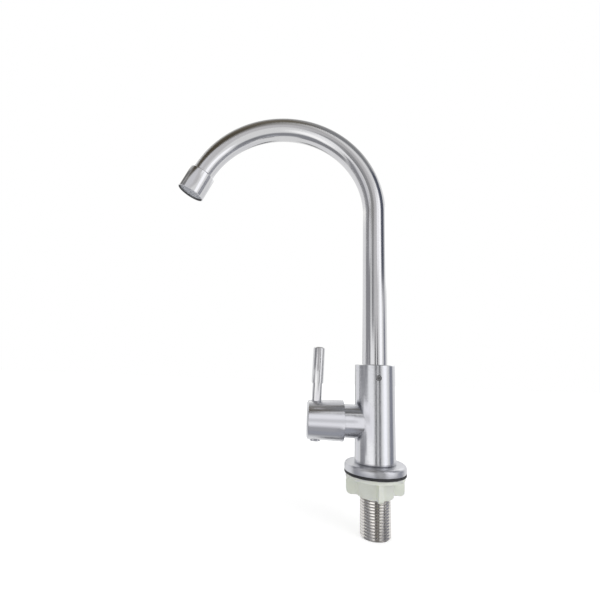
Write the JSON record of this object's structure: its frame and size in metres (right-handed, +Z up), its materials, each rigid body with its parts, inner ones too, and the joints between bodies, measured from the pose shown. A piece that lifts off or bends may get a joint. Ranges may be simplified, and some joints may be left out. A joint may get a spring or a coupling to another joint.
{
  "type": "kitchen faucet",
  "caption": "Deck-mounted cold water faucet: gooseneck spout that swivels, aerator, side lever on a ceramic quarter-turn valve, base flange, threaded shank and wing lock nut.",
  "frame": {"origin": "on the faucet's upright axis, at the underside of the deck gasket, where the deck's surface lies", "axes": "+Z up along the faucet's axis; -X along the valve branch and, at rest, towards the outlet of the spout; -Y towards the set screw's side"},
  "size_m": [0.1833, 0.043, 0.3187],
  "materials": {
    "satin_steel": "satin brushed stainless steel",
    "spout_steel": "brushed stainless steel, glossier on the bend",
    "lever_steel": "turned and polished stainless steel",
    "thread_steel": "bright machined thread",
    "dark_steel": "blackened steel",
    "screen_steel": "woven wire",
    "brass": "machined",
    "black_rubber": "matt",
    "nut_plastic": "moulded, milky",
    "white_plastic": "moulded",
    "grey_plastic": "moulded",
    "ceramic": "lapped ceramic"
  },
  "bodies": {
    "base": {"threaded_shank": "thread_steel", "base_flange": "satin_steel", "deck_gasket": "black_rubber", "faucet_body": "satin_steel", "spout_set_screw": "dark_steel", "valve_seat_seal": "black_rubber", "fixed_ceramic_disc": "ceramic", "valve_housing": "brass", "housing_o_ring": "black_rubber"},
    "spout": {"spout_tube": "spout_steel", "spout_end_sleeve": "brass", "spout_o_rings": "black_rubber", "spout_bush": "white_plastic", "outlet_nipple": "brass", "aerator_housing": "spout_steel", "aerator_washer": "black_rubber", "aerator_insert": "grey_plastic", "aerator_screen": "screen_steel"},
    "lever": {"handle_cap": "satin_steel", "lever_rod": "lever_steel", "handle_grub_screw": "dark_steel", "handle_plug": "satin_steel", "valve_spindle": "brass", "spindle_o_ring": "black_rubber", "moving_ceramic_disc": "ceramic", "stop_ring": "brass", "spindle_clip": "dark_steel"},
    "nut": {"lock_nut": "nut_plastic"}
  },
  "joints": [
    {"name": "spout_swivel", "type": "hinge", "parent": "base", "child": "spout", "pos_m": [0, 0, 0.0744], "axis": [0, 0, 1], "continuous": true},
    {"name": "lever_turn", "type": "hinge", "parent": "base", "child": "lever", "pos_m": [-0.0429, 0, 0.0341], "axis": [1, 0, 0], "range_deg": [0, 90]},
    {"name": "nut_travel", "type": "slide", "parent": "base", "child": "nut", "axis": [0, 0, -1], "range_m": [0, 0.023]}
  ]
}
